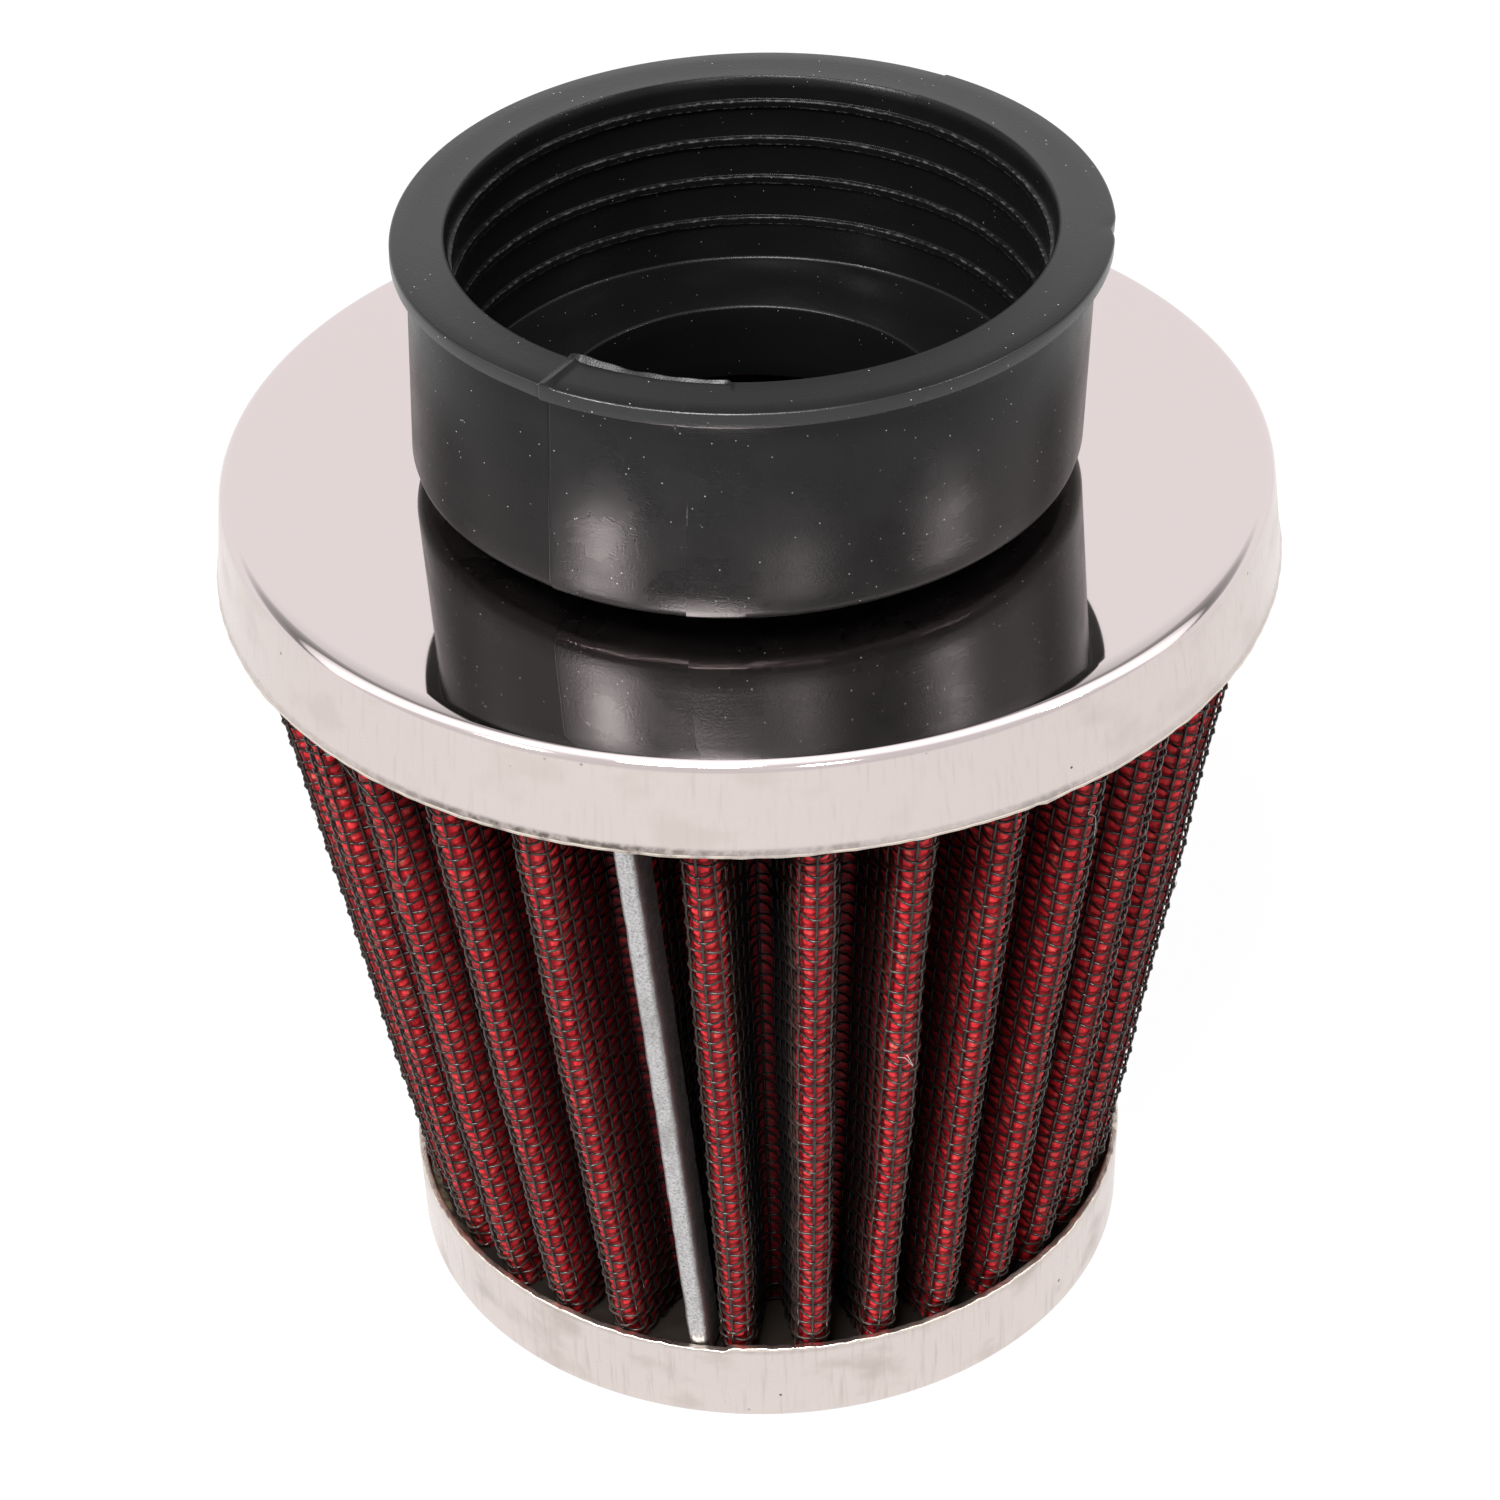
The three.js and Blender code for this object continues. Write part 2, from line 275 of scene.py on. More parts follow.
def tubes(paths, normals, radius, sides=5):
    """Points and faces of round tubes along rows of path points, closed at both ends."""
    count, length, _ = paths.shape
    along = np.gradient(paths, axis=1)
    along /= np.linalg.norm(along, axis=-1, keepdims=True)
    out = normals - (normals * along).sum(-1, keepdims=True) * along
    out /= np.linalg.norm(out, axis=-1, keepdims=True)
    across = np.cross(along, out)
    turn = np.arange(sides) * 2 * np.pi / sides
    ring = out[:, :, None] * np.cos(turn)[:, None] + across[:, :, None] * np.sin(turn)[:, None]
    points = (paths[:, :, None] + radius * ring).reshape(-1, 3)
    one = grid_faces(length, sides, closed_columns=True)
    starts = np.arange(count)[:, None, None] * length * sides
    walls = (starts + one).reshape(-1, 4)
    first = np.arange(sides)[::-1] + starts[:, 0]
    last = np.arange(sides) + starts[:, 0] + (length - 1) * sides
    return points, [walls, np.concatenate([first, last])]


# ---- the pleats' surface ----------------


def fold_azimuths():
    """Azimuths of the clip's near side, of every fold, and of the clip again a turn later."""
    even_gaps = FOLDS - 1 - WIDE_FOLDS
    even_pitch = (LAST_FOLD - FIRST_FOLD - WIDE_FOLDS * WIDE_PITCH) / even_gaps
    even = [FIRST_FOLD + i * even_pitch for i in range(even_gaps)]
    wide = [LAST_FOLD - i * WIDE_PITCH for i in range(WIDE_FOLDS, -1, -1)]
    folds = np.array(even + wide)
    folds[0] += FIRST_FOLD_TURN
    folds[-1] += LAST_FOLD_TURN
    return folds


def envelope(z):
    """Outer radius of the pleats at a height: a straight taper that swells a little above the end cap."""
    share = (z - PACK_BOTTOM) / (PACK_TOP - PACK_BOTTOM)
    swell = PACK_SWELL * np.clip((z - END_LIP + 1.3) / 2.2, 0, 1) * (1 - share)
    return PACK_BOTTOM_R + (PACK_TOP_R - PACK_BOTTOM_R) * share + swell


class Pleats:
    """The middle surface of the outer wire mesh. It is measured in columns of the weave along the strip,
    from one side of the clip round to the other, and in rows up it."""

    def __init__(self):
        random = np.random.default_rng(11)
        folds = fold_azimuths()
        self.sway = random.normal(0, FOLD_SWAY, (FOLDS, 3))
        self.plump = random.normal(1, FOLD_PLUMPNESS, FOLDS)
        self.dip = random.normal(0, FOLD_DIP, FOLDS + 1)
        self.folds = folds
        middle = 0.5 * (PACK_BOTTOM + PACK_TOP)
        lengths = [self.half(middle, i, np.array([0.0]))[2] for i in range(2 * FOLDS + 2)]
        self.ends = np.concatenate([[0], np.cumsum(lengths)]) / COLUMN_PITCH
        self.columns = int(self.ends[-1])
        self.taper = math.atan((PACK_TOP_R - PACK_BOTTOM_R) / (PACK_TOP - PACK_BOTTOM))
        self.row_rise = ROW_PITCH * math.cos(self.taper)
        self.first_row = PACK_BOTTOM - 2 * self.row_rise
        self.rows = int((PACK_TOP - self.first_row) / self.row_rise)

    def ridge(self, z, index):
        """Azimuth, outer radius and rounding of a ridge. Ridges -1 and FOLDS are the ends in the clip."""
        share = (z - PACK_BOTTOM) / (PACK_TOP - PACK_BOTTOM)
        if index in (-1, FOLDS):
            clip = CLIP_AZIMUTH_BOTTOM + (CLIP_AZIMUTH_TOP - CLIP_AZIMUTH_BOTTOM) * share
            return clip + (360 if index == FOLDS else 0), envelope(z) - PINCH_BACK, PINCH_R
        waves = [1, math.sin(4 * share + index), math.sin(9 * share + 2 * index)]
        azimuth = self.folds[index] + self.sway[index] @ (np.array(waves) * (0.5, 1, 0.6))
        crest = (CREST_R_BOTTOM + (CREST_R_TOP - CREST_R_BOTTOM) * share) * self.plump[index]
        return azimuth, envelope(z) - WIRE_R - ROW_CRIMP, crest

    def half(self, z, index, share):
        """Points and normals at these shares of a half pleat, ridge to valley or back, and its length."""
        side = 1 if index % 2 == 0 else -1
        valley = index // 2
        ridge = valley - 1 if side == 1 else valley
        azimuth, outer, crest = self.ridge(z, ridge)
        other = self.ridge(z, ridge + side)[0]
        floor = 0.5 * (azimuth + other)
        ridge_centre = unit(azimuth) * (outer - crest)
        valley_centre = unit(floor) * (envelope(z) - PLEAT_DEPTH + self.dip[valley] + VALLEY_R)
        away = valley_centre - ridge_centre
        distance = np.linalg.norm(away)
        away /= distance
        lean = (crest + VALLEY_R) / distance
        flank = lean * away + math.sqrt(1 - lean**2) * side * np.array([away[1], -away[0]])
        turn = math.degrees(math.atan2(flank[0], -flank[1]))
        turn = azimuth + (turn - azimuth + 180) % 360 - 180
        straight_start = ridge_centre + crest * flank
        straight = valley_centre - VALLEY_R * flank - straight_start
        lengths = np.array([
            crest * math.radians(abs(turn - azimuth)),
            np.linalg.norm(straight),
            VALLEY_R * math.radians(abs(turn - floor)),
        ])
        at = (share if side == 1 else 1 - share) * lengths.sum()
        round_crest, on_flank = at < lengths[0], at < lengths[0] + lengths[1]
        past = at - lengths[0] - lengths[1]
        facing = np.select(
            [round_crest, on_flank],
            [azimuth + side * np.degrees(at / crest), np.full_like(at, turn)],
            turn - side * np.degrees(past / VALLEY_R),
        )
        normals = unit(facing)
        along = ((at - lengths[0]) / lengths[1])[:, None]
        past_crest = np.where(
            on_flank[:, None],
            straight_start + along * straight,
            valley_centre - VALLEY_R * normals,
        )
        points = np.where(round_crest[:, None], ridge_centre + crest * normals, past_crest)
        return points, normals, lengths.sum()

    def section(self, z, columns):
        """Points and normals of the whole strip at one height, at these columns."""
        points, normals = np.zeros((len(columns), 2)), np.zeros((len(columns), 2))
        which = np.clip(np.searchsorted(self.ends, columns, side="right") - 1, 0, len(self.ends) - 2)
        for index in np.unique(which):
            here = which == index
            share = (columns[here] - self.ends[index]) / (self.ends[index + 1] - self.ends[index])
            points[here], normals[here], _ = self.half(z, index, np.clip(share, 0, 1))
        return points, normals

    def surface(self, columns, rows):
        """Points, outward normals and depth below the crests, on the grid of rows by columns.
        Rows run square to the slanting crests, so they rise towards the valleys."""
        step = 1.0
        low = self.first_row - step
        levels = np.arange(low, PACK_TOP + 4 * step, step)
        cuts = [self.section(z, columns) for z in levels]
        plan, facing = np.array([c[0] for c in cuts]), np.array([c[1] for c in cuts])
        reference = self.first_row + rows * self.row_rise
        at = np.searchsorted(levels, reference) - 1
        depth = envelope(reference)[:, None] - np.hypot(*np.moveaxis(plan[at], -1, 0))
        heights = reference[:, None] + math.tan(self.taper) * np.maximum(depth, 0)
        place = (heights - low) / step
        below = np.clip(place.astype(int), 0, len(levels) - 2)
        share = (place - below)[:, :, None]
        k = np.arange(len(columns))[None, :]
        flat = plan[below, k] * (1 - share) + plan[below + 1, k] * share
        normal = facing[below, k] * (1 - share) + facing[below + 1, k] * share
        rise = (plan[below + 1, k] - plan[below, k]) / step
        normals = np.concatenate([normal, -(normal * rise).sum(-1, keepdims=True)], axis=-1)
        normals /= np.linalg.norm(normals, axis=-1, keepdims=True)
        points = np.concatenate([flat, heights[:, :, None]], axis=-1)
        slack = uneven(columns, rows, 3, 0.05)[:, :, None]
        points += normals * slack
        points[:, :, 2] += uneven(columns, rows, 5, 0.1)
        return points, normals, np.clip(depth / PLEAT_DEPTH, 0, 1)

    def pinch(self, columns):
        """Share of the pack's full thickness at each column: the layers are pressed together in the clip."""
        from_end = np.minimum(columns, self.ends[-1] - columns)
        return np.clip(PINCH_SHARE + (1 - PINCH_SHARE) * from_end / PINCH_COLUMNS, PINCH_SHARE, 1)


def uneven(columns, rows, seed, amplitude, waves=14):
    """A smooth irregular field over the weave."""
    random = np.random.default_rng(seed)
    field = np.zeros((len(rows), len(columns)))
    for _ in range(waves):
        wavelength = random.uniform(5, 24)
        direction = random.uniform(0, 2 * np.pi)
        phase = columns[None, :] * math.cos(direction) + rows[:, None] * math.sin(direction)
        field += np.sin(2 * np.pi * phase / wavelength + random.uniform(0, 2 * np.pi))
    return amplitude * field / math.sqrt(waves)


# ---- materials ----------------


def set_stops(elements, stops):
    """Gives a colour ramp these places and colours."""
    while len(elements) < len(stops):
        elements.new(0.5)
    for element, (place, colour) in zip(elements, stops):
        element.position = place
        element.color = (*colour, 1)


class Finish:
    """A material round one Principled shader, with short calls for the nodes that the finishes use."""

    def __init__(self, name, **constants):
        self.material = bpy.data.materials.new(name)
        self.material.use_nodes = True
        self.nodes = self.material.node_tree.nodes
        self.links = self.material.node_tree.links
        self.shader = self.nodes["Principled BSDF"]
        self.coordinates = self.nodes.new("ShaderNodeTexCoord").outputs["Object"]
        for socket, value in constants.items():
            self.shader.inputs[socket.replace("_", " ")].default_value = value

    def put(self, socket, value):
        """Sets a node's input, which may be a number, a colour or another node's output."""
        if isinstance(value, bpy.types.NodeSocket):
            self.links.new(value, socket)
        else:
            socket.default_value = value

    def drive(self, socket, value):
        self.put(self.shader.inputs[socket], value)

    def mapped(self, kind, stretch, seed=0.0):
        """A texture node whose coordinates are in millimetres, times stretch."""
        mapping = self.nodes.new("ShaderNodeMapping")
        self.links.new(self.coordinates, mapping.inputs["Vector"])
        mapping.inputs["Scale"].default_value = [s / MM for s in stretch]
        mapping.inputs["Location"].default_value = (seed, seed, seed)
        texture = self.nodes.new(kind)
        self.links.new(mapping.outputs["Vector"], texture.inputs["Vector"])
        return texture

    def noise(self, scale, stretch=(1, 1, 1), detail=4.0, seed=0.0):
        """Noise of this many features a millimetre, drawn out along an axis where stretch is small."""
        texture = self.mapped("ShaderNodeTexNoise", stretch, seed)
        texture.inputs["Scale"].default_value = scale
        texture.inputs["Detail"].default_value = detail
        return texture.outputs["Fac"]

    def specks(self, scale, size):
        """1 in small round specks, about one in each cell of this many a millimetre."""
        texture = self.mapped("ShaderNodeTexVoronoi", (scale, scale, scale))
        texture.inputs["Scale"].default_value = 1.0
        return self.range(texture.outputs["Distance"], size, size * 0.6)

    def value(self, name):
        """A value that the mesh holds at each point."""
        node = self.nodes.new("ShaderNodeAttribute")
        node.attribute_name = name
        return node.outputs["Fac"]

    def math(self, operation, a, b=0.0):
        node = self.nodes.new("ShaderNodeMath")
        node.operation = operation
        self.put(node.inputs[0], a)
        self.put(node.inputs[1], b)
        return node.outputs["Value"]

    def times(self, a, b):
        return self.math("MULTIPLY", a, b)

    def range(self, value, low, high, to_low=0.0, to_high=1.0):
        """A value carried smoothly from one range to another, and held at its ends."""
        node = self.nodes.new("ShaderNodeMapRange")
        node.interpolation_type = "SMOOTHSTEP"
        for socket, number in zip(node.inputs[:5], (value, low, high, to_low, to_high)):
            self.put(socket, number)
        return node.outputs["Result"]

    def ramp(self, value, stops):
        """Colours at these places along a value."""
        node = self.nodes.new("ShaderNodeValToRGB")
        set_stops(node.color_ramp.elements, stops)
        self.put(node.inputs["Fac"], value)
        return node.outputs["Color"]

    def mix(self, share, a, b, blend="MIX"):
        """Colour a turning to b by share."""
        node = self.nodes.new("ShaderNodeMix")
        node.data_type = "RGBA"
        node.blend_type = blend
        for socket, value in zip((node.inputs[0], node.inputs[6], node.inputs[7]), (share, a, b)):
            self.put(socket, (*value, 1) if isinstance(value, tuple) else value)
        return node.outputs[2]

    def bump(self, height, depth):
        """Relief of this depth in millimetres, over any relief already there."""
        node = self.nodes.new("ShaderNodeBump")
        node.inputs["Distance"].default_value = depth * MM
        self.put(node.inputs["Height"], height)
        normal = self.shader.inputs["Normal"]
        if normal.links:
            self.links.new(normal.links[0].from_socket, node.inputs["Normal"])
        self.links.new(node.outputs["Normal"], normal)


def rubber_finish():
    """Black rubber. The mesh says which points are in the bore, darkened and less shiny there as painted
    shade;
    which are on the wall; and which are on the ribs' edges, lightened there partly as scuffs and partly as
    painted highlight.
    """
    f = Finish("black_rubber", IOR=1.52)
    cloud = f.noise(0.25, detail=3)
    drawn = f.noise(0.5, stretch=(0.12, 0.12, 7), detail=5)
    bore = f.value("bore")
    wall = f.value("wall")
    base = f.mix(cloud, (0.004, 0.004, 0.004), (0.008, 0.008, 0.008))
    # painted shade: the bore is darker than the outside
    inside = f.mix(bore, base, (0.003, 0.003, 0.003))
    # rib edges lightened partly as scuffs and partly as painted highlight lines
    scuff_and_highlight_mask = f.value("scuff_and_highlight")
    worn = f.times(scuff_and_highlight_mask, f.range(f.noise(2.2, stretch=(1, 1, 3), detail=8), 0.46, 0.66))
    scuff_and_highlight = f.mix(worn, inside, (0.045, 0.045, 0.045))
    settled = f.math("SUBTRACT", f.range(f.noise(0.7, seed=4), 0.48, 0.56), f.times(bore, 0.7))
    dust = f.times(f.specks(1.5, 0.085), settled)
    f.drive("Base Color", f.mix(dust, scuff_and_highlight, (0.42, 0.41, 0.40)))
    rough = f.math("ADD", f.range(cloud, 0.3, 0.7, 0.25, 0.32), f.range(drawn, 0.4, 0.8, 0, 0.02))
    f.drive("Roughness", rough)
    # less shine on the wall, and in the bore as painted shade
    shine = f.math("SUBTRACT", f.range(wall, 0, 1, 0.46, 0.1), f.range(bore, 0, 1, 0, 0.3))
    f.drive("Specular IOR Level", shine)
    f.bump(f.noise(6, detail=3), 0.014)
    f.bump(drawn, 0.004)
    return f.material


def steel_finish(name, skirt_rough, stain, darkening):
    """Bright steel. The mesh says how much of a point is skirt and not polished top, how near it is to the
    cut edge, and how marked the edge is there. stain is how dark those marks are, and darkening how grimy,
    dull and speckled the skirt is."""
    f = Finish(name, Metallic=1.0)
    skirt = f.value("skirt")
    edge = f.value("edge")
    streaks = f.noise(2.6, stretch=(1, 1, 0.07), detail=5)
    smudge = f.noise(0.16, stretch=(1, 1, 1.6), detail=6, seed=3)
    blotch = f.noise(0.6, detail=6, seed=8)
    clean = f.mix(skirt, (0.735, 0.645, 0.645), (0.665, 0.589, 0.562))
    dull = f.times(f.range(smudge, 0.5, 0.7, 0, darkening), skirt)
    dulled = f.mix(dull, clean, (0.46, 0.40, 0.365))
    streak = f.times(f.range(streaks, 0.5, 0.78, 0, darkening), skirt)
    streaked = f.mix(streak, dulled, (0.50, 0.44, 0.405))
    pits = f.times(f.specks(0.4, 0.05 + 0.03 * darkening), f.range(blotch, 0.5, 0.6))
    pitted = f.mix(f.times(pits, skirt), streaked, (0.10, 0.08, 0.07))
    band = f.times(f.range(edge, 0.44, 0.7), f.range(f.noise(1.4, detail=6), 0.34, 0.6, 0.4, 1.0))
    smoked = f.times(band, f.times(f.value("stain"), stain))
    marked = f.mix(smoked, pitted, (0.13, 0.105, 0.09))
    cut = f.ramp(edge, [
        (0.80, (0.30, 0.24, 0.20)),
        (0.85, (0.90, 0.82, 0.74)),
        (0.92, (0.50, 0.42, 0.35)),
        (0.97, (0.85, 0.76, 0.66)),
    ])
    worn = f.times(f.range(edge, 0.76, 0.84), f.range(blotch, 0.36, 0.56, 0.25, 1.0))
    f.drive("Base Color", f.mix(worn, marked, cut))
    rough = f.times(f.range(smudge, 0.35, 0.7, skirt_rough, skirt_rough + 0.12), skirt)
    f.drive("Roughness", f.math("ADD", rough, f.range(smudge, 0.4, 0.75, 0.03, 0.045)))
    f.bump(f.times(streaks, skirt), 0.007)
    f.bump(f.times(f.noise(4, detail=5, seed=5), edge), 0.06)
    return f.material


def clip_finish():
    f = Finish("clip_steel", Metallic=1.0)
    speckle = f.noise(5, detail=6)
    patches = f.noise(0.8, stretch=(1, 1, 0.3), seed=2)
    base = f.ramp(speckle, [(0.3, (0.26, 0.25, 0.25)), (0.5, (0.50, 0.49, 0.49)), (0.7, (0.62, 0.61, 0.61))])
    worn = f.mix(f.range(patches, 0.45, 0.7, 0, 0.5), base, (0.30, 0.29, 0.28))
    # painted shade: the rounded sides and the legs that reach down into the pleats are darkened, in patches
    darkening = f.times(f.value("side"), f.range(f.noise(1.5, detail=6, seed=7), 0.3, 0.55, 0.5, 1.0))
    f.drive("Base Color", f.mix(darkening, worn, (0.06, 0.05, 0.055)))
    f.drive("Roughness", f.range(speckle, 0.3, 0.7, 0.5, 0.34))
    f.bump(speckle, 0.03)
    return f.material


def gauze_finish():
    """Oiled red cotton. The mesh says how deep in the pleats a point is and how far down between pillows,
    and the colour is darkened by both as painted shade.
    """
    f = Finish("red_gauze", Specular_IOR_Level=0.15)
    cells = f.noise(0.9, detail=3)
    fibres = f.noise(5, stretch=(1, 1, 0.35), detail=6, seed=2)
    tone = f.math("ADD", f.times(cells, 0.6), f.times(fibres, 0.4))
    # random dye tone; its brightest, orange stop is painted highlight standing for oil sheen
    dye_and_sheen = f.ramp(tone, [
        (0.34, (0.48, 0.004, 0.012)),
        (0.46, (0.84, 0.022, 0.034)),
        (0.58, (0.98, 0.062, 0.068)),
        (0.68, (1.0, 0.24, 0.17)),
    ])
    # painted shade: the cotton darkens towards the valley floors, where little light reaches
    valley_shaded = f.mix(f.range(f.value("depth"), 0.05, 0.62, 0.0, 0.86), dye_and_sheen, (0.07, 0.0, 0.003))
    # painted shade: the cotton darkens in the grooves between pillows, under the wires
    groove_shaded = f.mix(f.times(f.value("groove"), 0.85), valley_shaded, (0.03, 0.0, 0.001))
    f.drive("Base Color", groove_shaded)
    f.drive("Roughness", f.range(fibres, 0.3, 0.7, 0.42, 0.62))
    f.bump(fibres, 0.06)
    return f.material


def wire_finish():
    """Dark coated wire. The mesh says how deep in the pleats a point is, where the wire is darkened and its
    shine lowered as painted shade.
    """
    f = Finish("coated_wire", IOR=1.5)
    tint = f.noise(1.2, detail=3)
    clean = f.mix(f.range(tint, 0.35, 0.65), (0.014, 0.010, 0.009), (0.034, 0.024, 0.020))
    # painted shade: darker and less shiny deep in the pleats
    deep = f.range(f.value("depth"), 0.08, 0.6)
    f.drive("Base Color", f.mix(deep, clean, (0.006, 0.005, 0.005)))
    f.drive("Roughness", f.range(tint, 0.3, 0.7, 0.07, 0.18))
    f.drive("Specular IOR Level", f.range(deep, 0, 1, 0.25, 0.05))
    return f.material


def fibre_finish():
    f = Finish("pale_cotton", Specular_IOR_Level=0.2)
    f.drive("Base Color", f.mix(f.noise(1.5), (0.30, 0.24, 0.22), (0.62, 0.58, 0.55)))
    f.drive("Roughness", f.range(f.noise(3, seed=2), 0.3, 0.7, 0.5, 0.8))
    return f.material


def potting_finish():
    """Cast resin, blackened as painted shade where the mesh says it is hidden between the pleats, with random
    darker patches.
    """
    f = Finish("potting", IOR=1.5, Specular_IOR_Level=0.1)
    tint = f.noise(0.4, detail=5)
    resin = f.mix(tint, (0.22, 0.165, 0.10), (0.40, 0.32, 0.20))
    # painted shade where hidden between the pleats, with random darker patches
    shade_and_dirt = f.math("ADD", f.value("hidden"), f.range(f.noise(0.8, seed=6), 0.4, 0.7, -0.05, 0.2))
    f.drive("Base Color", f.mix(f.range(shade_and_dirt, 0, 0.8), resin, (0.012, 0.009, 0.007)))
    f.drive("Roughness", f.range(tint, 0.3, 0.7, 0.6, 0.8))
    f.bump(f.noise(1.5, detail=5), 0.05)
    return f.material


# ---- rubber neck ----------------


def rubber_neck(material):
    wall = RIM_R - RIM_OVERHANG
    shelf = RIM_TOP - SHELF_DEPTH
    under_cap = BASE_TOP - CAP_SHEET - 0.3
    ribs = []
    for depth in RIB_DEPTHS:
        z = RIM_TOP - depth
        ribs += [
            (BORE_R, z + 0.36, 0.05),
            (BORE_R - RIB_PROUD, z + 0.3, 0.07),
            (BORE_R - RIB_PROUD, z + 0.16, 0),
            (BORE_R - RIB_PROUD, z - 0.16, 0),
            (BORE_R - RIB_PROUD, z - 0.3, 0.07),
            (BORE_R, z - 0.36, 0.05),
        ]
    flash = [
        (MOUTH_R + 0.32, RIM_TOP, 0),
        (MOUTH_R + 0.2, RIM_TOP + 0.01, 0),
        (MOUTH_R + 0.13, RIM_TOP + 0.01, 0),
        (MOUTH_R, RIM_TOP - 0.16, 0),
    ]
    corners = [
        (FLANGE_R, FLANGE_BOTTOM, 0.2),
        (FLANGE_R, under_cap, 0.2),
        (STEM_R, under_cap, 0.1),
        (STEM_R, WALL_BOTTOM, 0.2),
        (wall, WALL_BOTTOM, 1.1),
        (wall + 0.1, RIM_TOP - RIM_HEIGHT, 0.25),
        (RIM_R, RIM_TOP - RIM_HEIGHT + 0.1, 0.12),
        (RIM_R + 0.02, RIM_TOP, 0.22),
        *flash,
        (BORE_R, RIM_TOP - 0.9, 0),
        *ribs,
        (BORE_R, shelf, 0.3),
        (INNER_HOLE_R, shelf - 0.05, 0.25),
        (INNER_HOLE_R, FLANGE_BOTTOM, 0.2),
    ]
    outline = divided(rounded(corners, 3), 1.6)
    fine = np.array([-0.35, -0.2, -0.06, 0.06, 0.2, 0.35])
    lines = np.array([PARTING, FAR_PARTING, SCAR])
    azimuths = np.sort(np.concatenate([np.arange(-180, 180, 0.75), (lines[:, None] + fine).ravel()]))
    radii = np.repeat(outline[None, :, 0], len(azimuths), 0)
    heights = np.repeat(outline[None, :, 1], len(azimuths), 0)

    outside = np.clip((outline[:, 0] - 24.0) / 0.8, 0, 1)
    half = np.where((azimuths > PARTING) & (azimuths < FAR_PARTING), 1.0, -1.0)
    radii += PARTING_STEP * half[:, None] * outside
    before = np.clip(PARTING - azimuths, 0, 90)
    groove = bump_at(azimuths, PARTING, 0.18) + bump_at(azimuths, FAR_PARTING, 0.18)
    radii -= (0.07 * groove + 0.22 * (1 - np.exp(-before / 3.5)) * np.exp(-before / 25))[:, None] * outside
    heights += 0.03 * half[:, None] * (outline[:, 1] > RIM_TOP - 0.3)

    low_wall = outside * np.clip((RIM_TOP - 8 - outline[:, 1]) / 5, 0, 1)
    beyond_scar = (azimuths > SCAR) & (azimuths < SCAR + SCAR_SPAN)
    fade = np.where(beyond_scar, 1 - (azimuths - SCAR) / SCAR_SPAN, 0)
    radii += 0.16 * fade[:, None] * low_wall
    radii += ripple(azimuths, 7, (2, 3, 5), 0.08)[:, None] * outside

    crests = (outline[:, 0] < BORE_R - 0.15) & (outline[:, 1] > shelf + 0.5)
    for depth in RIB_DEPTHS:
        on_rib = crests & (np.abs(outline[:, 1] - RIM_TOP + depth) < 0.5)
        tears = ripple(azimuths, 20 + int(depth), (5, 13, 29, 47), 0.8)
        radii += 0.05 * tears[:, None] * on_rib
        heights += 0.04 * np.roll(tears, 40)[:, None] * on_rib

    tip = (outline[:, 1] > RIM_TOP + 0.005) & (outline[:, 0] < MOUTH_R + 0.25)
    ragged = 0.6 + ripple(azimuths, 31, (7, 17, 29, 53), 0.6)
    along = (azimuths - FLASH_START) / FLASH_SPAN
    reach = np.where((along > -0.05) & (along < 1.0), 1 - 0.55 * np.clip(along, 0, 1), 0)
    heights += (0.5 * reach * np.clip(ragged, 0.1, 1.2))[:, None] * tip
    radii -= (0.22 * reach * np.clip(ragged, 0, 1))[:, None] * tip
    on_rim = (outline[:, 1] > RIM_TOP - 0.1) & (outline[:, 0] > MOUTH_R + 0.3)
    ridge = bump_at(azimuths, FLASH_START, 0.7) * (0.7 + ripple(azimuths, 5, (90, 130), 0.5))
    heights += 0.22 * ridge[:, None] * on_rim

    nick = bump_at(azimuths, NICK, NICK_WIDTH)
    radii -= NICK_DEPTH * nick[:, None] * (outline[:, 0] > RIM_R - 0.4)
    points = turned_points(azimuths, radii, heights)
    above = points[:, 2] - BASE_TOP
    points[:, 0] += NECK_LEAN * np.clip(above / (RIM_TOP - BASE_TOP), 0, 1)
    faces = [turned_faces(azimuths, len(outline))]
    # the bore, which the rubber's finish darkens as painted shade
    bore = (outline[:, 0] < MOUTH_R + 0.05) & (outline[:, 1] < RIM_TOP - 0.1)
    bore |= tip
    off_rib = np.min([np.abs(outline[:, 1] - RIM_TOP + depth) for depth in RIB_DEPTHS], axis=0)
    wall_part = (outline[:, 0] > 23.5) & (outline[:, 1] < RIM_TOP - RIM_HEIGHT + 0.2)
    dull_rim = on_rim * 0.9 * np.clip(np.cos(np.radians(azimuths)), 0, 1)[:, None]
    values = {
        "bore": np.broadcast_to(bore * 1.0, radii.shape),
        "wall": wall_part * np.where(azimuths < PARTING, 1.0, 0.75)[:, None] + dull_rim,
        # rib edges, lightened partly as scuffs and partly as painted highlight
        "scuff_and_highlight": np.broadcast_to(crests * (off_rib > 0.2) * 1.0, radii.shape),
    }
    neck = make_piece("neck", points, faces, material, "black_rubber", values, sharp=32)
    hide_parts("rubber_neck")


# ---- steel caps ----------------


def cap_values(outline, azimuths, skirt, edge, stain):
    """Per-point values that the steel finish reads, from values along the outline and round the axis."""
    ones = np.ones((len(azimuths), 1))
    return {
        "skirt": ones * skirt,
        "edge": ones * edge,
        "stain": stain[:, None] * np.ones(len(outline)),
    }


